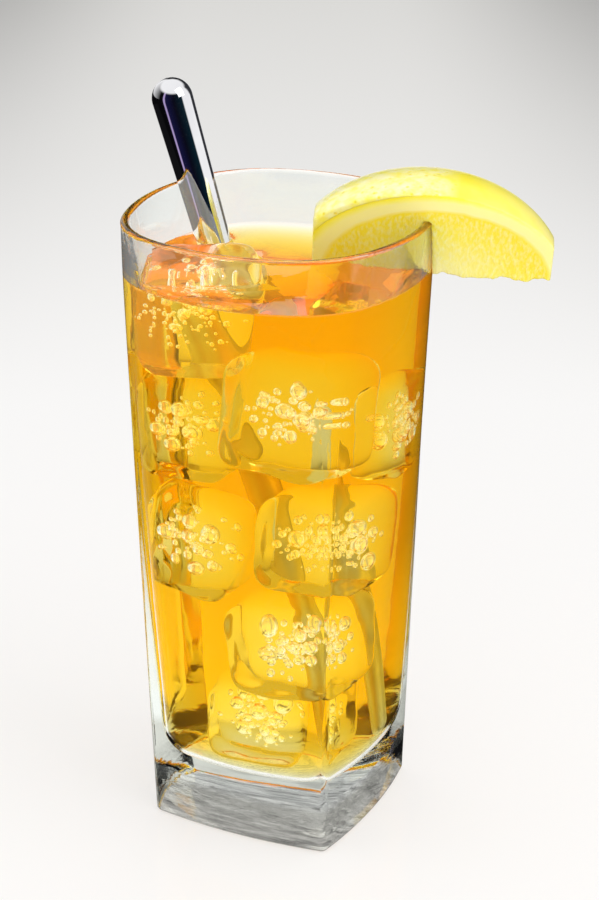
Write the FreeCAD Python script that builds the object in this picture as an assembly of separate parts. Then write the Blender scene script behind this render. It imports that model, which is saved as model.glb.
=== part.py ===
import FreeCAD, Part
import math
import os

# Tall glass of iced tea, square at the foot and almost round at the mouth,
# with a floating ice cube, a lemon wedge on the rim and a steel stirring rod.
# Millimetres. Z is up, the origin is the centre of the face the glass rests on,
# and X and Y run square to the four sides of the foot.

V = FreeCAD.Vector
os.makedirs("parts", exist_ok=True)

# ---- glass, outside ----
glass_height = 157.5
foot_half_width = 26.2      # centre to the middle of a side
foot_bow = 2.15             # how far the side's middle stands out past its corners
rim_half_width = 36.3
rim_bow = 8.3
foot_corner_round = 1.8     # upright edge, low down
rim_corner_round = 27.0     # upright edge, faded out at the rim
corner_fade = 5.0           # how late the upright edge fades
foot_edge_round = 1.2

# ---- glass, inside ----
floor_thickness = 17.0
wall_low = 3.1              # side wall at the floor
wall_rim = 2.0              # side wall at the rim
corner_wall_extra = 1.0     # more glass in the corners, low down
bore_corner_round_low = 8.5
bore_corner_round_rim = 25.0
floor_edge_round = 7.0
lip_round = 0.9

# ---- tea ----
tea_below_rim = 13.9

# ---- stirring rod ----
rod_top_radius = 5.1
rod_neck_radius = 4.25      # where it dips into the tea
rod_foot_radius = 3.2
rod_above_rim = 21.0        # to the centre of the domed end
rod_rest_fit = 0.1          # gap kept to the glass
rod_foot_heading = 32.6     # degrees about Z, where on the floor it stands
rod_foot_gap = 1.6          # from its foot to the bore's side
rod_lean_heading = 178.4    # degrees about Z, from the foot towards the rim

# ---- lemon wedge ----
lemon_radius = 26.2
lemon_half_length = 33.7    # of the whole fruit, before its ends were trimmed
wedge_half_angle = 25.0
wedge_stop_short = 7.6      # its inner end, short of the middle of the glass
wedge_reach_out = 27.7
wedge_centre_in = 2.5       # middle of the fruit, inwards of the slit
wedge_core_trim = 1.0       # white core cut away along the inner edge
wedge_heading = 22.2        # degrees about Z, outwards over the rim
wedge_dip = 2.9             # outer end lower
wedge_seat_heading = 24.4   # where on the rim it sits
wedge_seat_depth = 16.0     # core edge below the rim
slit_fit = 0.12
slit_extra_height = 0.1

# ---- floating ice ----
ice_length, ice_width, ice_height = 29.0, 25.0, 26.0
ice_draft = 2.0             # each side, narrower at the bottom
ice_round = 5.0
ice_draught = 9.2           # its centre below the tea's surface
ice_heading = 212.4         # degrees about Z, which way it has drifted
ice_wall_gap = 1.0
ice_turn = 26.0
ice_tilt = 4.0

tea_level = glass_height - tea_below_rim


def mix(a, b, t):
    return a + (b - a) * t


def heading_vector(degrees):
    return V(math.cos(math.radians(degrees)), math.sin(math.radians(degrees)), 0.0)


def farthest(low, high, is_clear):
    """The largest value between low and high that still is clear."""
    for step in range(12):
        middle = (low + high) / 2.0
        if is_clear(middle):
            low = middle
        else:
            high = middle
    return low


def rounded_section(half_width, bow, corner_round, z):
    """Closed wire of four bowed sides joined by tangent corner arcs."""
    half = half_width - bow
    side_radius = (half * half + bow * bow) / (2.0 * bow)
    side_centre = half_width - side_radius
    # the corner arc's centre lies on the diagonal, inside and tangent to both sides
    reach = side_radius - corner_round
    centre = (side_centre + math.sqrt(2.0 * reach ** 2 - side_centre ** 2)) / 2.0
    slope = math.atan2(centre, centre - side_centre)
    tx = side_centre + side_radius * math.cos(slope)
    ty = side_radius * math.sin(slope)
    tip = centre + corner_round / math.sqrt(2.0)
    edges = []
    for k in range(4):
        turn = k * math.pi / 2.0

        def at(x, y):
            return V(x * math.cos(turn) - y * math.sin(turn),
                     x * math.sin(turn) + y * math.cos(turn), z)
        edges.append(Part.Arc(at(tx, -ty), at(half_width, 0.0), at(tx, ty)).toShape())
        edges.append(Part.Arc(at(tx, ty), at(tip, tip), at(ty, tx)).toShape())
    return Part.Wire(edges)


def outer_section(z):
    t = z / glass_height
    return rounded_section(mix(foot_half_width, rim_half_width, t), mix(foot_bow, rim_bow, t),
                           mix(foot_corner_round, rim_corner_round, t ** corner_fade), z)


def inner_section(z, ease=0.0):
    """Section of the bore, drawn in by 'ease' from the true wall."""
    t = z / glass_height
    up = (z - floor_thickness) / (glass_height - floor_thickness)
    wall = mix(wall_low, wall_rim, up) + ease
    side = mix(foot_half_width, rim_half_width, t)
    bow = mix(foot_bow, rim_bow, t)
    corner_wall = wall * math.sqrt(mix(2.0, 1.0, up)) + corner_wall_extra * (1.0 - up)
    inner_bow = bow - wall + corner_wall / math.sqrt(2.0)
    return rounded_section(side - wall, inner_bow,
                           mix(bore_corner_round_low, bore_corner_round_rim, up ** 2), z)


def loft(sections):
    return Part.makeLoft(sections, True, False)


def spaced(low, high, count):
    return [mix(low, high, i / (count - 1.0)) for i in range(count)]


def edges_at(shape, z, tolerance=0.02):
    return [e for e in shape.Edges
            if abs(e.BoundBox.ZMin - z) < tolerance and abs(e.BoundBox.ZMax - z) < tolerance]


# ---- glass ----
glass_body = loft([outer_section(z) for z in spaced(0.0, glass_height, 9)])
glass_body = glass_body.makeFillet(foot_edge_round, edges_at(glass_body, 0.0))
bore_over = 6.0
bore = loft([inner_section(z) for z in spaced(floor_thickness, glass_height + bore_over, 9)])
bore = bore.makeFillet(floor_edge_round, edges_at(bore, floor_thickness))
glass = glass_body.cut(bore)
glass = glass.makeFillet(lip_round, edges_at(glass, glass_height))

# ---- stirring rod, leaning from the floor to the rim ----
foot_height = floor_thickness + rod_foot_radius + rod_rest_fit


def foot_clear(distance):
    probe = Part.makeSphere(rod_foot_radius, heading_vector(rod_foot_heading) * distance
                            + V(0, 0, foot_height))
    return probe.distToShape(glass)[0] > rod_rest_fit * 0.9


foot_distance = farthest(0.0, foot_half_width, foot_clear) - rod_foot_gap
rod_foot = heading_vector(rod_foot_heading) * foot_distance + V(0, 0, foot_height)


def rod_at(slope):
    """The rod leaning at 'slope' (run over rise), turned round its own axis."""
    lean = (heading_vector(rod_lean_heading) * slope + V(0, 0, 1)).normalize()
    low = (tea_level - foot_height) / lean.z
    high = (glass_height + rod_above_rim - foot_height) / lean.z
    s = math.sqrt(0.5)
    p_bottom = V(0, 0, -rod_foot_radius)
    p_foot = V(rod_foot_radius, 0, 0)
    p_neck = V(rod_neck_radius, 0, low)
    p_top = V(rod_top_radius, 0, high)
    p_tip = V(0, 0, high + rod_top_radius)
    lines = [
        Part.Arc(p_bottom, V(rod_foot_radius * s, 0, -rod_foot_radius * s), p_foot).toShape(),
        Part.makeLine(p_foot, p_neck),
        Part.makeLine(p_neck, p_top),
        Part.Arc(p_top, V(rod_top_radius * s, 0, high + rod_top_radius * s), p_tip).toShape(),
        Part.makeLine(p_tip, p_bottom),
    ]
    solid = Part.Solid(Part.Face(Part.Wire(lines)).revolve(V(0, 0, 0), V(0, 0, 1), 360.0))
    solid.Placement = FreeCAD.Placement(rod_foot, FreeCAD.Rotation(V(0, 0, 1), lean))
    return solid


rod = rod_at(farthest(0.05, 0.6, lambda slope: rod_at(slope).distToShape(glass)[0]
                      > rod_rest_fit * 0.9))

# ---- lemon wedge: part of an egg-shaped fruit between two cuts, ends trimmed ----
fruit = Part.makeSphere(lemon_radius)
stretch = FreeCAD.Matrix()
stretch.scale(lemon_half_length / lemon_radius, 1.0, 1.0)
fruit = fruit.transformGeometry(stretch)
fruit.translate(V(-wedge_centre_in, 0, 0))
rim_corner = (rim_half_width - rim_bow) * math.sqrt(2.0)
seat_radius = mix(rim_half_width, rim_corner,
                  math.sin(math.radians(2.0 * wedge_seat_heading)) ** 2) - wall_rim / 2.0
wedge_reach_in = seat_radius - wedge_stop_short
spread = math.tan(math.radians(wedge_half_angle))
top_z = lemon_radius * 2.0
wedge_end = Part.Face(Part.makePolygon([
    V(-wedge_reach_in, y, z) for y, z in (
        (-wedge_core_trim * spread, wedge_core_trim), (-top_z * spread, top_z),
        (top_z * spread, top_z), (wedge_core_trim * spread, wedge_core_trim),
        (-wedge_core_trim * spread, wedge_core_trim))]))
wedge = fruit.common(wedge_end.extrude(V(wedge_reach_in + wedge_reach_out, 0, 0)))
wedge.Placement = FreeCAD.Placement(
    heading_vector(wedge_seat_heading) * seat_radius + V(0, 0, glass_height - wedge_seat_depth),
    FreeCAD.Rotation(V(0, 0, 1), wedge_heading).multiply(FreeCAD.Rotation(V(0, 1, 0), wedge_dip)))

# the slit is the glass wall with a little room each side
slit_low = glass_height * 0.6
slit_outer = loft([outer_section(z) for z in spaced(slit_low, glass_height, 4)])
slit_outer = slit_outer.makeOffsetShape(slit_fit, 0.01, fill=False)
slit_inner = loft([inner_section(z, slit_fit)
                   for z in spaced(slit_low - 8.0, glass_height + 8.0, 5)])
above_rim = Part.makeBox(400, 400, 100, V(-200, -200, glass_height + slit_extra_height))
wedge = wedge.cut(slit_outer.cut(slit_inner).cut(above_rim))
wedge = max(wedge.Solids, key=lambda s: s.Volume)


# ---- floating ice cube, drifted towards the wall ----
def rectangle(length, width, z):
    x, y = length / 2.0, width / 2.0
    return Part.makePolygon([V(-x, -y, z), V(x, -y, z), V(x, y, z), V(-x, y, z), V(-x, -y, z)])


cube = loft([rectangle(ice_length - 2.0 * ice_draft, ice_width - 2.0 * ice_draft,
                       -ice_height / 2.0),
             rectangle(ice_length, ice_width, ice_height / 2.0)])
cube = cube.makeFillet(ice_round, cube.Edges)


def ice_at(distance):
    moved = cube.copy()
    moved.Placement = FreeCAD.Placement(
        heading_vector(ice_heading) * distance + V(0, 0, tea_level - ice_draught),
        FreeCAD.Rotation(V(0, 0, 1), ice_turn).multiply(FreeCAD.Rotation(V(1, 0, 0), ice_tilt)))
    return moved


ice = ice_at(farthest(0.0, rim_half_width, lambda distance: ice_at(distance)
                      .distToShape(glass)[0] > ice_wall_gap))

# ---- tea: fills the bore up to its level, round the ice, the rod and the lemon ----
tea = bore.cut(Part.makeBox(400, 400, 200, V(-200, -200, tea_level)))
for sunk in (rod, ice, wedge):
    tea = tea.cut(sunk)
tea = max(tea.Solids, key=lambda s: s.Volume)

parts = {"glass": glass, "tea": tea, "lemon_wedge": wedge, "stirrer": rod, "ice_cube": ice}
for name, shape in parts.items():
    shape.exportStep("parts/%s.step" % name)
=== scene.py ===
import bpy
import math
import random
from mathutils import Matrix, Vector, noise


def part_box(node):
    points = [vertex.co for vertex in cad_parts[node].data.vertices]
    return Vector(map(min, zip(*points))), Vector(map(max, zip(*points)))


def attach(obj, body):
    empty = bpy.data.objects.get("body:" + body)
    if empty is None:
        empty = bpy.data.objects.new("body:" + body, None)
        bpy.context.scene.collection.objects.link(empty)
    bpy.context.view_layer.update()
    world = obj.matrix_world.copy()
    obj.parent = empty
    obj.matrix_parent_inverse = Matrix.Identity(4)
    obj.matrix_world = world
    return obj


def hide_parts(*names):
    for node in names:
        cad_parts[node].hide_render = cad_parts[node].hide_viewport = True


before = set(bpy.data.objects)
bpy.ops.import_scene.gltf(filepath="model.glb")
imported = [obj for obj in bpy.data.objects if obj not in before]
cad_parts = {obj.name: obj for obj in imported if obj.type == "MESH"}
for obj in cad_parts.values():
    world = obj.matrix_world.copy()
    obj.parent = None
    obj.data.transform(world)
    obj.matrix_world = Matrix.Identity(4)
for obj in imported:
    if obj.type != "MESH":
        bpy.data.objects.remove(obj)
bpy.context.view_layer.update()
mm = 0.001

# ---- Glass ----
# A pressed soda-lime tumbler, square at its thick foot and almost round at the
# fire-polished mouth. It is clear, with a breath of green where it is thick.

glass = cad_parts["glass"]
tea_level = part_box("tea")[1][2]
glass_ior, tea_ior = 1.52, 1.335
foot_shade_from, foot_shade_below = 14 * mm, 11 * mm


def colour(hex_code):
    """sRGB hex to linear RGBA."""
    parts = []
    for k in (0, 2, 4):
        c = int(hex_code[k:k + 2], 16) / 255
        parts.append(c / 12.92 if c <= 0.04045 else ((c + 0.055) / 1.055) ** 2.4)
    return (*parts, 1.0)


def feed(node, inputs):
    """Set a node's inputs by value, or link them to a node or to one of its outputs."""
    for name, source in inputs.items():
        if isinstance(source, bpy.types.Node):
            source = next(o for o in source.outputs if o.enabled)
        if isinstance(source, bpy.types.NodeSocket):
            node.id_data.links.new(source, node.inputs[name])
        else:
            node.inputs[name].default_value = source


def add(tree, kind, inputs=None, stops=(), **settings):
    """Add a node with its settings, its inputs and, in a ramp, its (position, hex) stops."""
    node = tree.nodes.new(kind)
    for name, value in settings.items():
        setattr(node, name, value)
    feed(node, inputs or {})
    if stops:
        steps = node.color_ramp.elements
        while len(steps) < len(stops):
            steps.new(1.0)
        for step, (position, hex_code) in zip(steps, stops):
            step.position = position
            step.color = colour(hex_code)
    return node


def new_material(name):
    """A material, its node tree, its Principled shader and its output."""
    material = bpy.data.materials.new(name)
    material.use_nodes = True
    tree = material.node_tree
    return material, tree, tree.nodes["Principled BSDF"], tree.nodes["Material Output"]


def change_at(tree, level, lower, upper):
    """One number below a height and another above it."""
    place = add(tree, "ShaderNodeTexCoord").outputs["Object"]
    height = add(tree, "ShaderNodeSeparateXYZ", {"Vector": place}).outputs["Z"]
    above = add(tree, "ShaderNodeMath", {0: height, 1: level}, operation="GREATER_THAN")
    return add(tree, "ShaderNodeMath", {0: above, 1: upper - lower, 2: lower},
               operation="MULTIPLY_ADD")


def wear(obj, material):
    """Give a carried-over CAD node its finish."""
    for place in obj.material_slots:
        place.material = material


# pressed soda-lime glass: mirror smooth, with the faint waves that the mould leaves,
# and low on the foot its streaks and a cool grey painted shade, which dull what shows through
soda_glass, tree, shader, out = new_material("pressed_soda_lime_glass")
place = add(tree, "ShaderNodeTexCoord").outputs["Object"]
height = add(tree, "ShaderNodeSeparateXYZ", {"Vector": place}).outputs["Z"]
waves = add(tree, "ShaderNodeTexNoise", {"Vector": place, "Scale": 1 / (14 * mm), "Detail": 1.0})
wavy = add(tree, "ShaderNodeBump", {"Height": waves, "Strength": 1.0, "Distance": 0.05 * mm})
along = add(tree, "ShaderNodeMapping",
            {"Vector": place, "Scale": (1 / (16 * mm), 1 / (16 * mm), 1 / (2.4 * mm))})
mould = add(tree, "ShaderNodeTexNoise", {"Vector": along, "Scale": 1.0, "Detail": 3.0})
foot = add(tree, "ShaderNodeMapRange",
           {"Value": height, "From Min": foot_shade_from, "From Max": foot_shade_below})
# painted shade: the foot's base colour turns grey, for the shaded table seen through it
painted_foot_shade = add(tree, "ShaderNodeMix", {0: foot, 6: colour("fafdfb"), 7: colour("c6c6bd")},
            data_type="RGBA")
ridges = add(tree, "ShaderNodeMath", {0: mould, 1: foot}, operation="MULTIPLY")
streaked = add(tree, "ShaderNodeBump",
               {"Height": ridges, "Normal": wavy, "Strength": 1.0, "Distance": 0.22 * mm})

# light bends by 1.52 at the glass, but where tea wets the bore, which is what faces up
# or inwards, only by the step from glass to tea
side = add(tree, "ShaderNodeNewGeometry")
outward = add(tree, "ShaderNodeMath", {0: side.outputs["Backfacing"], 1: -2.0, 2: 1.0},
              operation="MULTIPLY_ADD")
normal = add(tree, "ShaderNodeVectorMath", {0: side.outputs["True Normal"], "Scale": outward},
             operation="SCALE")
to_axis = add(tree, "ShaderNodeVectorMath", {0: place, 1: (-1.0, -1.0, 0.0)}, operation="MULTIPLY")
unit = add(tree, "ShaderNodeVectorMath", {0: to_axis}, operation="NORMALIZE")
up_and_in = add(tree, "ShaderNodeVectorMath", {0: unit, 1: (0.0, 0.0, 1.0)}, operation="ADD")
facing = add(tree, "ShaderNodeVectorMath", {0: normal, 1: up_and_in}, operation="DOT_PRODUCT")
bore = add(tree, "ShaderNodeMath", {0: facing, 1: 0.0}, operation="GREATER_THAN")
filled = change_at(tree, tea_level, 1.0, 0.0)
wet = add(tree, "ShaderNodeMath", {0: bore, 1: filled}, operation="MULTIPLY")
bend = add(tree, "ShaderNodeMath", {0: wet, 1: glass_ior / tea_ior - glass_ior, 2: glass_ior},
           operation="MULTIPLY_ADD")
tint = add(tree, "ShaderNodeVolumeAbsorption", {"Color": colour("d8e2dc"), "Density": 8.0})
feed(shader, {"Base Color": painted_foot_shade, "Roughness": 0.0, "Transmission Weight": 1.0, "IOR": bend,
              "Normal": streaked})
feed(out, {"Volume": tint})
wear(glass, soda_glass)

# ---- Tea ----
# Black tea, strained and clear, filled to a finger below the rim. It stands right
# against the glass, the ice and the rod, and climbs them a little at its surface.

into_wall = 0.08 * mm
meniscus_width = 0.9 * mm
meniscus_height = 0.5 * mm
weld = 0.002 * mm


def only(*objects):
    """Select just these objects, the last one active."""
    bpy.ops.object.select_all(action="DESELECT")
    for obj in objects:
        obj.select_set(True)
    bpy.context.view_layer.objects.active = objects[-1]


def copy_of(obj, name):
    """An own copy, with its own mesh."""
    only(obj)
    bpy.ops.object.duplicate()
    twin = bpy.context.object
    twin.name = name
    twin.data.name = name
    return twin


def whole_copy(node, name):
    """A copy of a CAD node, with its loose triangles joined."""
    twin = copy_of(node, name)
    bpy.ops.object.mode_set(mode="EDIT")
    bpy.ops.mesh.select_all(action="SELECT")
    bpy.ops.mesh.remove_doubles(threshold=weld)
    bpy.ops.mesh.customdata_custom_splitnormals_clear()
    bpy.ops.mesh.select_mode(type="FACE")
    bpy.ops.object.mode_set(mode="OBJECT")
    return twin


def pick_faces(obj, wanted):
    """In edit mode, select the faces that 'wanted' says."""
    bpy.ops.object.mode_set(mode="OBJECT")
    for face in obj.data.polygons:
        face.select = wanted(face)
    bpy.ops.object.mode_set(mode="EDIT")


def is_surface(face):
    """Whether a face of the tea is part of its open surface."""
    return face.normal.z > 0.9 and face.center.z > tea_level - 0.1 * mm


tea = whole_copy(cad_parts["tea"], "tea_drink")
pick_faces(tea, lambda f: not is_surface(f))
bpy.ops.transform.shrink_fatten(value=into_wall)

# draw a narrow ring along the rim of the surface, then lift its outer edge
pick_faces(tea, is_surface)
bpy.ops.mesh.inset(thickness=meniscus_width, depth=0.0, use_boundary=True)
bpy.ops.object.mode_set(mode="OBJECT")
on_top, on_side = set(), set()
for face in tea.data.polygons:
    (on_top if is_surface(face) else on_side).update(face.vertices)
for part in (tea.data.polygons, tea.data.edges):
    for item in part:
        item.select = False
for vertex in tea.data.vertices:
    vertex.select = vertex.index in on_top and vertex.index in on_side
bpy.ops.object.mode_set(mode="EDIT")
bpy.ops.mesh.select_mode(type="VERT")
bpy.ops.transform.translate(value=(0, 0, meniscus_height))
bpy.ops.object.mode_set(mode="OBJECT")

# strained black tea: clear, it takes out the blue and much of the green, and a painted
# glow, an Emission in its volume, brightens it. Only its open surface bends light; at the glass
# and the ice their own surfaces do that
black_tea, tree, shader, out = new_material("strained_black_tea")
dye = add(tree, "ShaderNodeVolumeAbsorption", {"Color": colour("feee00"), "Density": 106.0})
painted_tea_glow = add(tree, "ShaderNodeEmission", {"Color": colour("ffc000"), "Strength": 4.0})
feed(shader, {"Base Color": colour("ffffff"), "Roughness": 0.0, "Transmission Weight": 1.0,
              "IOR": change_at(tree, tea_level - 0.02 * mm, 1.0, tea_ior)})
feed(out, {"Volume": add(tree, "ShaderNodeAddShader", {0: dye, 1: painted_tea_glow})})

# ---- Sunk ice ----
# Large clear cubes with rounded, melted edges. The air that was driven out while
# they froze is trapped in the middle of each as a cluster of small bubbles.

cube_side = 26.0 * mm
cube_round = 7.0 * mm
cube_melt = 2.2 * mm
ice_overlap = 0.1 * mm
ice_gap = 0.8 * mm
ice_ior = 1.41
cluster_size = Vector((10.5, 5, 9)) * mm
cluster_heading = math.radians(26)
bubble_count = 60
largest_bubble = 2.9 * mm
most_tries = 9000
rng = random.Random(28)

# centre, sides, turn about Z, tilt about X and Y (mm and degrees)
sunk_cubes = [
    ("a", (-16.0, -9.0, 106.5), (24, 24, 25), 3, 3, -2),
    ("b", (12.0, -15.8, 115.2), (28, 26, 29), -3, -3, 4),
    ("c", (18.2, 10.4, 105.0), (21, 22, 24), 6, 2, 3),
    ("d", (-13.0, -12.5, 77.0), (24, 24, 25), -4, 5, 6),
    ("e", (14.4, -6.0, 79.6), (25, 25, 25), 5, -4, 3),
    ("f", (10.2, -12.0, 52.6), (27, 26, 24.6), 3, 2, -3),
    ("g", (0.5, -7.0, 28.6), (24, 24, 21.5), 8, 1, 2),
]

bpy.ops.object.select_all(action="DESELECT")
bpy.ops.mesh.primitive_cube_add(size=cube_side)
ice_shape = bpy.context.object
ice_shape.name = "ice_shape"
bpy.ops.object.mode_set(mode="EDIT")
bpy.ops.mesh.bevel(offset=cube_round, segments=4, profile=0.62, affect="EDGES")
bpy.ops.object.mode_set(mode="OBJECT")
smooth = ice_shape.modifiers.new("round", "SUBSURF")
smooth.levels = smooth.render_levels = 2
bpy.ops.object.modifier_apply(modifier=smooth.name)
bpy.ops.object.shade_smooth()

melt = bpy.data.textures.new("melt", "CLOUDS")
melt.noise_scale = 14 * mm


def melting_ice(name, painted_glow, bend):
    """Ice, with the faint dimples of a surface that melts, and a painted glow of the given
    strength.
    """
    material, tree, shader, out = new_material(name)
    place = add(tree, "ShaderNodeTexCoord").outputs["Object"]
    dimples = add(tree, "ShaderNodeTexNoise",
                  {"Vector": place, "Scale": 1 / (5 * mm), "Detail": 0.0})
    dented = add(tree, "ShaderNodeBump",
                 {"Height": dimples, "Strength": 1.0, "Distance": 0.05 * mm})
    feed(shader, {"Base Color": colour("ffffff"), "Roughness": 0.0, "Transmission Weight": 1.0,
                  "Emission Color": colour("ffe4a0"), "Emission Strength": painted_glow,
                  "IOR": bend(tree), "Normal": dented})
    return material


# clear ice, wholly under tea
clear_ice = melting_ice("clear_melting_ice", 0.0, lambda tree: ice_ior / tea_ior)

# air in the ice: bright little mirrors with a faint painted glow on them
trapped_air, tree, shader, out = new_material("trapped_air")
feed(shader, {"Base Color": colour("ffffff"), "Roughness": 0.0, "Transmission Weight": 1.0,
              "IOR": ice_ior, "Emission Color": colour("fff8b4"), "Emission Strength": 0.1})


def ice_cube(name, centre, sides, tilt, melted):
    """A cube of its own sides and tilt, melted unevenly."""
    cube = copy_of(ice_shape, name)
    cube.location = centre
    cube.scale = [side * mm / cube_side for side in sides]
    cube.rotation_euler = [math.radians(angle) for angle in tilt]
    bpy.ops.object.transform_apply(location=True, rotation=True, scale=True)
    wobble = cube.modifiers.new("melt", "DISPLACE")
    wobble.texture = melt
    wobble.strength = melted
    wobble.mid_level = 0.5
    wobble.texture_coords = "GLOBAL"
    bpy.ops.object.modifier_apply(modifier=wobble.name)
    return cube


def keep_clear(obj, solid, inside, gap):
    """Push back what comes closer than the gap to a solid's surface, from inside or outside."""
    sign = -1 if inside else 1
    for vertex in obj.data.vertices:
        _, point, normal, _ = solid.closest_point_on_mesh(vertex.co)
        if sign * (vertex.co - point).dot(normal) < gap:
            vertex.co = point + sign * gap * normal


def bubbles(centre, spread, count, largest):
    """Centre, radius and stretch of bubbles that touch, but don't run into each other."""
    places = []
    tries = 0
    turn = Matrix.Rotation(cluster_heading, 3, "Z")
    while len(places) < count and tries < most_tries:
        tries += 1
        # they crowd in the middle of the cluster
        offset = Vector([rng.gauss(0, 0.42) for _ in range(3)])
        if offset.length > 1:
            continue
        point = centre + turn @ Vector([o * s for o, s in zip(offset, spread)])
        # the large ones come first, and the rest fill in round them
        radius = largest * max(1.0 - 0.04 * len(places), rng.uniform(0.16, 0.45))
        # each takes the room that is left, unless that is too little for it
        room = min([(point - p).length - r for p, r, _ in places] + [radius])
        if room > min(0.5 * radius, 0.7 * mm):
            places.append((point, room * 0.98, [rng.uniform(0.7, 1.0) for _ in range(3)]))
    return places


def trap_air(cube, places):
    """Add the walls of bubbles to a cube. They look inwards, as hollows in the ice do."""
    bpy.ops.object.select_all(action="DESELECT")
    point, radius, stretch = places[0]
    bpy.ops.mesh.primitive_ico_sphere_add(subdivisions=3, radius=radius, location=point,
                                          scale=stretch)
    air = bpy.context.object
    bpy.ops.object.transform_apply(location=True, rotation=True, scale=True)
    bpy.ops.object.mode_set(mode="EDIT")
    for point, radius, stretch in places[1:]:
        bpy.ops.mesh.primitive_ico_sphere_add(subdivisions=3 if radius > 0.8 * mm else 2,
                                              radius=radius, location=point, scale=stretch)
    bpy.ops.mesh.select_all(action="SELECT")
    bpy.ops.mesh.flip_normals()
    bpy.ops.object.mode_set(mode="OBJECT")
    bpy.ops.object.shade_smooth()
    air.data.materials.append(trapped_air)
    only(air, cube)
    bpy.ops.object.join()


for name, centre, sides, turn, tilt_x, tilt_y in sunk_cubes:
    middle = Vector(centre) * mm
    cube = ice_cube("sunk_ice_" + name, middle, sides, (tilt_x, tilt_y, turn), cube_melt)
    keep_clear(cube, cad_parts["tea"], True, ice_gap)

    # the hollow in the tea is the cube's own skin, turned inside out
    hollow = copy_of(cube, "hollow")
    bpy.ops.object.mode_set(mode="EDIT")
    bpy.ops.mesh.select_all(action="SELECT")
    bpy.ops.mesh.flip_normals()
    bpy.ops.object.mode_set(mode="OBJECT")
    only(hollow, tea)
    bpy.ops.object.join()

    only(cube)
    bpy.ops.object.mode_set(mode="EDIT")
    bpy.ops.mesh.select_all(action="SELECT")
    bpy.ops.transform.shrink_fatten(value=ice_overlap)
    bpy.ops.object.mode_set(mode="OBJECT")
    cube.data.materials.clear()
    cube.data.materials.append(clear_ice)
    trap_air(cube, bubbles(middle, cluster_size, bubble_count, largest_bubble))
    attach(cube, "root")

# with all its hollows in it, the tea is finished
only(tea)
bpy.ops.object.shade_smooth_by_angle(angle=math.radians(35))
tea.data.materials.clear()
tea.data.materials.append(black_tea)
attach(tea, "root")
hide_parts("tea")

# ---- Floating ice ----
# One more cube of the same ice, freshly added, so it still floats at the near left
# of the glass and stands a few millimetres out of the tea.

floating_sides = (29.2, 25.2, 26.4)
floating_tilt = (4, -3, 26)
floating_melt = 1.8 * mm
floating_wall_gap = 0.4 * mm
floating_bulge = 0.5 * mm
floating_cluster = Vector((12.5, 8, 10)) * mm
cluster_rise = Vector((0, 0, 1.0)) * mm
floating_bubbles = 110
floating_largest = 1.8 * mm

# floating ice: as above, but in air over the tea level, and with a faint painted glow
floating_ice = melting_ice("clear_floating_ice", 0.06,
                           lambda tree: change_at(tree, tea_level, ice_ior / tea_ior, ice_ior))

ice_low, ice_high = (Vector(corner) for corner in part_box("ice_cube"))
middle = (ice_low + ice_high) / 2
floating = ice_cube("floating_ice", middle, floating_sides, floating_tilt, floating_melt)
keep_clear(floating, glass, False, floating_wall_gap)
keep_clear(floating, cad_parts["ice_cube"], True, -floating_bulge)
floating.data.materials.clear()
floating.data.materials.append(floating_ice)
trap_air(floating, bubbles(middle + cluster_rise, floating_cluster, floating_bubbles,
                           floating_largest))
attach(floating, "root")
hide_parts("ice_cube")

only(ice_shape)
bpy.ops.object.delete()

# ---- Lemon wedge ----
# A thick wedge of a fresh lemon: waxy porous peel, white pith and wet flesh of
# juice sacs. A slot cut up from the core edge hangs it over the rim.

lemon_centre = Vector((34.1, 15.4, 141.5)) * mm
lemon_lean = math.radians(2.9)
lemon_heading = math.radians(22.2)
lemon_radius = 26.2 * mm
lemon_half_length = 33.7 * mm
torn_height = 4 * mm

wedge = whole_copy(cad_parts["lemon_wedge"], "lemon_slice")
remesh = wedge.modifiers.new("even", "REMESH")
remesh.mode = "VOXEL"
remesh.voxel_size = 0.45 * mm
bpy.ops.object.modifier_apply(modifier=remesh.name)

# the cut core edge is ragged: torn sacs hang a little below it
to_fruit = (Matrix.Translation(lemon_centre) @ Matrix.Rotation(lemon_heading, 4, "Z")
            @ Matrix.Rotation(lemon_lean, 4, "Y")).inverted()
for vertex in wedge.data.vertices:
    along, aside, up = to_fruit @ vertex.co
    hang = max(0.0, 1.0 - (up - 0.5 * mm) / torn_height)
    coarse = noise.noise(Vector((along / (4.5 * mm), aside / (6 * mm), 3.1)))
    fine = noise.noise(Vector((along / (1.6 * mm), aside / (3 * mm), 7.7)))
    vertex.co.z += (coarse * 1.5 + fine * 0.6) * mm * hang

# fresh lemon: the colour goes by the distance from the core, 0 there and 1 at the skin
fresh_lemon, tree, shader, out = new_material("fresh_lemon")
place = add(tree, "ShaderNodeTexCoord").outputs["Object"]
in_fruit = {"Vector": place, "Location": lemon_centre,
            "Rotation": (0.0, lemon_lean, lemon_heading)}
fruit = add(tree, "ShaderNodeMapping",
            {**in_fruit, "Scale": (lemon_half_length, lemon_radius, lemon_radius)},
            vector_type="TEXTURE")
out_from_core = add(tree, "ShaderNodeVectorMath", {0: fruit}, operation="LENGTH")
ragged = add(tree, "ShaderNodeTexNoise", {"Vector": place, "Scale": 1 / (4 * mm), "Detail": 2.0})
depth = add(tree, "ShaderNodeMath", {0: ragged, 1: 0.035, 2: out_from_core},
            operation="MULTIPLY_ADD")
flesh = add(tree, "ShaderNodeValToRGB", {"Fac": depth}, stops=(
    (0.0, "fdf7b0"), (0.25, "fbf08a"), (0.55, "fce84c"), (0.81, "fae024"),
    (0.85, "fff2a4"), (0.93, "fff3a0"), (0.975, "fef064"), (1.01, "fcec34")))

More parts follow.
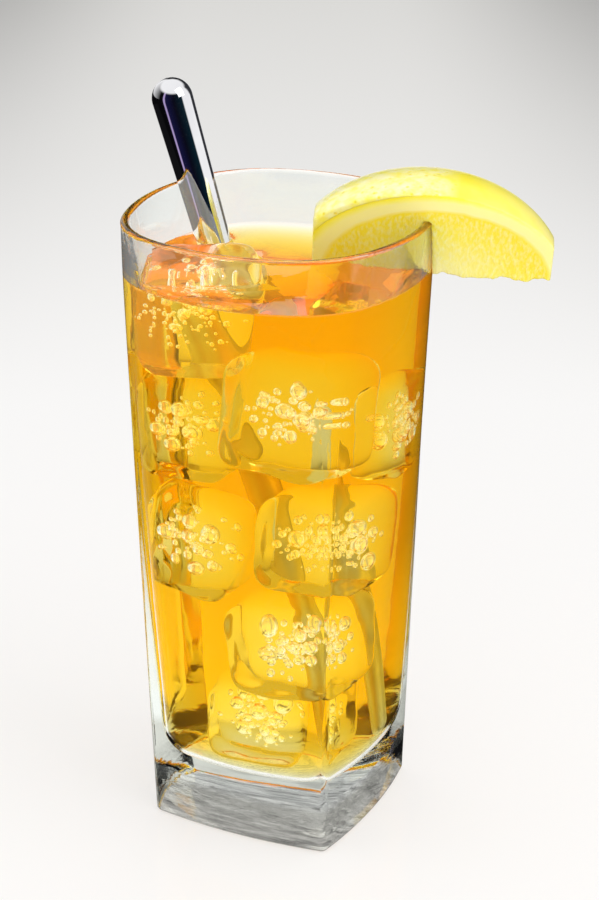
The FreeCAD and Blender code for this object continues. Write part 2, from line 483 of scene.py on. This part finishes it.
# juice sacs run from the core to the rind
sacs = add(tree, "ShaderNodeMapping", {**in_fruit, "Scale": (0.7 * mm, 0.7 * mm, 8 * mm)},
           vector_type="TEXTURE")
streaks = add(tree, "ShaderNodeTexNoise", {"Vector": sacs, "Scale": 1.0, "Detail": 2.0})
in_flesh = add(tree, "ShaderNodeMapRange", {"Value": depth, "From Min": 0.83, "From Max": 0.78})
streak = add(tree, "ShaderNodeMapRange",
             {"Value": streaks, "From Min": 0.42, "From Max": 0.72, "To Max": 0.5})
pale = add(tree, "ShaderNodeMath", {0: streak, 1: in_flesh}, operation="MULTIPLY")
cut = add(tree, "ShaderNodeMix", {0: pale, 6: flesh, 7: colour("fbf6c8")}, data_type="RGBA")
sac_relief = add(tree, "ShaderNodeMath", {0: streaks, 1: in_flesh}, operation="MULTIPLY")

# the peel has a pore every 2 mm, and between its pores its yellow is whitened in blotches by
# painted sheen
pores = add(tree, "ShaderNodeTexVoronoi", {"Vector": place, "Scale": 1 / (2.0 * mm)})
pit = add(tree, "ShaderNodeMapRange", {"Value": pores, "From Min": 0.0, "From Max": 0.35},
          interpolation_type="SMOOTHSTEP")
skin = add(tree, "ShaderNodeMapRange",
           {"Value": out_from_core, "From Min": 0.985, "From Max": 0.998})
sheen_blotches = add(tree, "ShaderNodeTexNoise", {"Vector": place, "Scale": 1 / (3 * mm), "Detail": 3.0})
peel_and_painted_sheen = add(tree, "ShaderNodeValToRGB", {"Fac": sheen_blotches},
          stops=((0.32, "fbee5c"), (0.68, "fdf9c4")))
rind = add(tree, "ShaderNodeMix", {0: pit, 6: colour("f6e414"), 7: peel_and_painted_sheen}, data_type="RGBA")
pit_relief = add(tree, "ShaderNodeMath", {0: pit, 1: skin}, operation="MULTIPLY")
dimpled = add(tree, "ShaderNodeBump",
              {"Height": pit_relief, "Strength": 1.0, "Distance": 0.2 * mm})
uneven = add(tree, "ShaderNodeBump",
             {"Height": sac_relief, "Normal": dimpled, "Strength": 1.0, "Distance": 0.3 * mm})
# the Emission is a faint painted glow that brightens the whole wedge
feed(shader, {
    "Base Color": add(tree, "ShaderNodeMix", {0: skin, 6: cut, 7: rind}, data_type="RGBA"),
    "Normal": uneven, "Roughness": 0.34, "Coat Weight": 0.6, "Coat Roughness": 0.22,
    "Subsurface Weight": 0.35, "Subsurface Radius": (1.0, 0.85, 0.25),
    "Subsurface Scale": 4 * mm, "Emission Color": colour("ffe23c"), "Emission Strength": 0.09})
wedge.data.materials.clear()
wedge.data.materials.append(fresh_lemon)
only(wedge)
bpy.ops.object.shade_smooth()
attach(wedge, "root")
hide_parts("lemon_wedge")

# ---- Stirring rod ----
# A solid bar of stainless steel with a domed end, which leans on the rim. It is
# polished where it is held and brushed where it stands in the drink.

polished_down_to, brushed_below = 138 * mm, 128 * mm

# stainless steel: a near mirror, here and there a little smeared
steel, tree, shader, out = new_material("polished_stainless_steel")
place = add(tree, "ShaderNodeTexCoord").outputs["Object"]
height = add(tree, "ShaderNodeSeparateXYZ", {"Vector": place}).outputs["Z"]
smears = add(tree, "ShaderNodeTexNoise", {"Vector": place, "Scale": 1 / (9 * mm), "Detail": 3.0})
gloss = add(tree, "ShaderNodeMapRange",
            {"Value": smears, "From Min": 0.4, "From Max": 0.75, "To Min": 0.02, "To Max": 0.07})
brushed = add(tree, "ShaderNodeMapRange",
              {"Value": height, "From Min": polished_down_to, "From Max": brushed_below,
               "To Max": 0.4})
feed(shader, {
    "Base Color": add(tree, "ShaderNodeValToRGB", {"Fac": smears},
                      stops=((0.35, "f2f2f4"), (0.75, "e4e4e8"))),
    "Metallic": 1.0,
    "Roughness": add(tree, "ShaderNodeMath", {0: gloss, 1: brushed}, operation="ADD")})
wear(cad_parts["stirrer"], steel)

# ---- Floor, light and camera ----
# A matt white table top under a white studio sky with one large soft lamp. What
# mirrors and glass pick up is the studio round it: white panels to the right and
# behind, dark where the room is unlit.

studio_heading = math.radians(-63.794)
table_radius = 6.0
lamp_side = 0.6


def studio_round(tree, direction, left_side, behind):
    """What a mirror sees of the room, all the way round from behind the object."""
    turned = add(tree, "ShaderNodeVectorRotate", {"Vector": direction, "Angle": -studio_heading},
                 rotation_type="Z_AXIS")
    axes = add(tree, "ShaderNodeSeparateXYZ", {"Vector": turned}).outputs
    around = add(tree, "ShaderNodeMath", {0: axes["Y"], 1: axes["X"]}, operation="ARCTAN2")
    share = add(tree, "ShaderNodeMapRange",
                {"Value": around, "From Min": -math.pi, "From Max": math.pi})
    return add(tree, "ShaderNodeValToRGB", {"Fac": share}, stops=(
        (0.0, behind), (0.03, behind), (0.06, left_side), (0.30, "0a0a0c"),
        (0.352, "0b0b12"), (0.362, "b9a4d6"), (0.380, "b9a4d6"), (0.392, "17173e"),
        (0.52, "0a0a18"), (0.655, "0a222c"), (0.672, "ffffff"), (0.81, "ffffff"),
        (0.83, "34363a"), (0.95, "34363a"), (0.98, behind)))


def ray_shares(tree):
    """What kind of look it is: 1 for a mirror's, 1 for one after a bounce inside glass, 1
    for one straight through glass and 1 for one that crossed at most two of its faces;
    then how dark the room is after a bounce."""
    path = add(tree, "ShaderNodeLightPath").outputs
    lit = add(tree, "ShaderNodeMath", {0: path["Diffuse Depth"], 1: 0.5}, operation="LESS_THAN")
    bounced = add(tree, "ShaderNodeMath", {0: path["Glossy Depth"], 1: 0.5},
                  operation="GREATER_THAN")
    glassy = add(tree, "ShaderNodeMath", {0: path["Is Transmission Ray"], 1: lit},
                 operation="MULTIPLY")
    inside = add(tree, "ShaderNodeMath", {0: glassy, 1: bounced}, operation="MULTIPLY")
    through = add(tree, "ShaderNodeMath", {0: glassy, 1: inside}, operation="SUBTRACT")
    glossy = add(tree, "ShaderNodeMath", {0: path["Is Glossy Ray"], 1: lit}, operation="MULTIPLY")
    mirror = add(tree, "ShaderNodeMath", {0: glossy, 1: glassy}, operation="SUBTRACT",
                 use_clamp=True)
    few = add(tree, "ShaderNodeMath", {0: path["Transmission Depth"], 1: 2.5},
              operation="LESS_THAN")
    dark = add(tree, "ShaderNodeMath", {0: few, 1: 0.45, 2: 0.28}, operation="MULTIPLY_ADD")
    return path, mirror, inside, through, few, dark


bpy.ops.object.select_all(action="DESELECT")
bpy.ops.mesh.primitive_circle_add(vertices=96, radius=table_radius, fill_type="NGON")
floor = bpy.context.object
floor.name = "floor"

# a matt white table top, whose light falls off behind the object and at its sides
table_top, tree, shader, out = new_material("matt_white_table_top")
place = add(tree, "ShaderNodeTexCoord").outputs["Object"]
spot = add(tree, "ShaderNodeVectorMath", {0: place}, operation="LENGTH")
reach = add(tree, "ShaderNodeMapRange", {"Value": spot, "From Max": 1.6})
lit = add(tree, "ShaderNodeValToRGB", {"Fac": reach},
          stops=((0.0, "fdfbf9"), (0.18, "fcfbfa"), (0.36, "f1f0ee"), (0.62, "e6e5e2")))
turned = add(tree, "ShaderNodeVectorRotate", {"Vector": place, "Angle": -studio_heading},
             rotation_type="Z_AXIS")
across = add(tree, "ShaderNodeSeparateXYZ", {"Vector": turned}).outputs
behind = add(tree, "ShaderNodeMapRange",
             {"Value": across["X"], "From Min": -0.3, "From Max": -1.1})
aside = add(tree, "ShaderNodeMath", {0: across["Y"]}, operation="ABSOLUTE")
wide = add(tree, "ShaderNodeMapRange",
           {"Value": aside, "From Min": 0.05, "From Max": 0.22, "To Max": 0.75},
           interpolation_type="SMOOTHSTEP")
corner = add(tree, "ShaderNodeMath", {0: behind, 1: wide}, operation="MULTIPLY")
shade = add(tree, "ShaderNodeMix", {0: corner, 6: lit, 7: colour("8c8b8a")}, data_type="RGBA")
feed(shader, {"Base Color": shade, "Roughness": 0.12, "Specular IOR Level": 0.5})

# to mirrors the table shows a painted reflection: dark near the object and the room beyond it
path, mirror, inside, through, few, dark = ray_shares(tree)
room = studio_round(tree, place, "0a0a0c", "ffffff")
near = add(tree, "ShaderNodeMapRange", {"Value": spot, "From Min": 0.43, "From Max": 0.46},
           interpolation_type="SMOOTHSTEP")
mirrored = add(tree, "ShaderNodeMix", {0: near, 6: colour("141416"), 7: room}, data_type="RGBA")
far = add(tree, "ShaderNodeMapRange", {"Value": spot, "From Min": 0.12, "From Max": 0.26},
          interpolation_type="SMOOTHSTEP")
dim = add(tree, "ShaderNodeMath", {0: far, 1: dark}, operation="MULTIPLY")
bounced = add(tree, "ShaderNodeMix", {0: dim, 6: shade, 7: room}, data_type="RGBA")
refracted = add(tree, "ShaderNodeMix", {0: inside, 6: shade, 7: bounced}, data_type="RGBA")
shown = add(tree, "ShaderNodeMix", {0: mirror, 6: refracted, 7: mirrored}, data_type="RGBA")

# through glass the table gets a painted pool of light round the foot, and through the foot alone,
# under it, a streaked painted shade
painted_light_round_foot = add(tree, "ShaderNodeMapRange",
           {"Value": spot, "From Min": 0.05, "From Max": 0.25, "To Min": 0.25, "To Max": 0.0},
           interpolation_type="SMOOTHSTEP")
under = add(tree, "ShaderNodeMapRange",
            {"Value": spot, "From Min": 0.026, "From Max": 0.040, "To Min": -0.8, "To Max": 0.0})
drawn = add(tree, "ShaderNodeMapping",
            {"Vector": place, "Scale": (1 / (16 * mm), 1 / (1.6 * mm), 1.0)})
streaks = add(tree, "ShaderNodeTexNoise",
              {"Vector": drawn, "Scale": 1.0, "Detail": 3.0, "Distortion": 0.6})
streak = add(tree, "ShaderNodeMapRange",
             {"Value": streaks, "From Min": 0.38, "From Max": 0.66, "To Min": 0.25, "To Max": 1.1})
painted_shade_under_foot = add(tree, "ShaderNodeMath", {0: under, 1: streak}, operation="MULTIPLY")
gain = add(tree, "ShaderNodeMath", {0: painted_shade_under_foot, 1: few, 2: painted_light_round_foot}, operation="MULTIPLY_ADD")
glassy = add(tree, "ShaderNodeMath", {0: through, 1: inside}, operation="ADD")
strength = add(tree, "ShaderNodeMath", {0: gain, 1: glassy, 2: 1.0}, operation="MULTIPLY_ADD")
painted_glow = add(tree, "ShaderNodeEmission", {"Color": shown, "Strength": strength})

# to the camera it is part lit paper and part glow, so that it keeps the shadow
seen = add(tree, "ShaderNodeMath", {0: path["Is Camera Ray"], 1: 0.6, 2: through},
           operation="MULTIPLY_ADD")
more = add(tree, "ShaderNodeMath", {0: seen, 1: inside}, operation="MAXIMUM")
share = add(tree, "ShaderNodeMath", {0: more, 1: mirror}, operation="MAXIMUM")
feed(out, {"Surface": add(tree, "ShaderNodeMixShader", {0: share, 1: shader, 2: painted_glow})})
floor.data.materials.append(table_top)

# the world is the white studio; mirrors see its dark and white walls below its ceiling
world = bpy.data.worlds.new("studio")
bpy.context.scene.world = world
world.use_nodes = True
tree = world.node_tree
place = add(tree, "ShaderNodeTexCoord").outputs["Generated"]
height = add(tree, "ShaderNodeSeparateXYZ", {"Vector": place}).outputs["Z"]
path, mirror, inside, through, _, dark = ray_shares(tree)
overhead = add(tree, "ShaderNodeMapRange", {"Value": height, "From Min": 0.5, "From Max": 0.7},
               interpolation_type="SMOOTHSTEP")
walls = studio_round(tree, place, "ffffff", "2a2a2c")
room = add(tree, "ShaderNodeMix", {0: overhead, 6: walls, 7: colour("ffffff")}, data_type="RGBA")
high = add(tree, "ShaderNodeMapRange", {"Value": height, "From Min": 0.0, "From Max": 1.0})
refracted = add(tree, "ShaderNodeValToRGB", {"Fac": high}, stops=(
    (0.0, "ffffff"), (0.3, "f4f4f2"), (0.45, "c6c8c6"), (0.6, "c6c8c6"), (0.75, "f8f8f8")))
plain = add(tree, "ShaderNodeMix",
            {0: path["Is Camera Ray"], 6: colour("fbfbfb"), 7: colour("ffffff")}, data_type="RGBA")
sky = add(tree, "ShaderNodeMix", {0: through, 6: plain, 7: refracted}, data_type="RGBA")
mirrored = add(tree, "ShaderNodeMath", {0: inside, 1: dark, 2: mirror}, operation="MULTIPLY_ADD")
both = add(tree, "ShaderNodeMix", {0: mirrored, 6: sky, 7: room}, data_type="RGBA")
feed(tree.nodes["Background"], {"Color": both, "Strength": 1.0})


def soft_light(name, place, target, power):
    """A square soft light, aimed at a point."""
    data = bpy.data.lights.new(name, "AREA")
    data.shape = "SQUARE"
    data.size = lamp_side
    data.energy = power
    light = bpy.data.objects.new(name, data)
    bpy.context.collection.objects.link(light)
    light.location = place
    light.rotation_euler = (Vector(target) - light.location).to_track_quat("-Z", "Y").to_euler()
    return light


# a large lamp high at the right, and a low one in front that only fills shadows
soft_light("soft_lamp", (0.62, -0.05, 0.75), (0.0, 0.0, 0.08), 2.2)
fill = soft_light("fill_lamp", (0.05, -0.9, 0.12), (0.02, 0.0, 0.13), 2.6)
fill.visible_glossy = False
fill.visible_transmission = False

# the camera looks down a little, past the near corner of the glass
camera_data = bpy.data.cameras.new("camera")
camera_data.sensor_fit = "VERTICAL"
camera_data.sensor_height = 36.0
camera_data.lens = 100.757
camera_data.clip_start = 0.02
camera = bpy.data.objects.new("camera", camera_data)
bpy.context.collection.objects.link(camera)
camera.location = (0.258184, -0.513752, 0.336641)
heading, pitch = math.radians(116.206), math.radians(-22.7069)
look = Vector((math.cos(heading) * math.cos(pitch), math.sin(heading) * math.cos(pitch),
               math.sin(pitch)))
camera.rotation_euler = look.to_track_quat("-Z", "Y").to_euler()

scene = bpy.context.scene
scene.camera = camera
scene.view_settings.view_transform = "Standard"
scene.cycles.max_bounces = 32
scene.cycles.transmission_bounces = 32
scene.cycles.glossy_bounces = 24
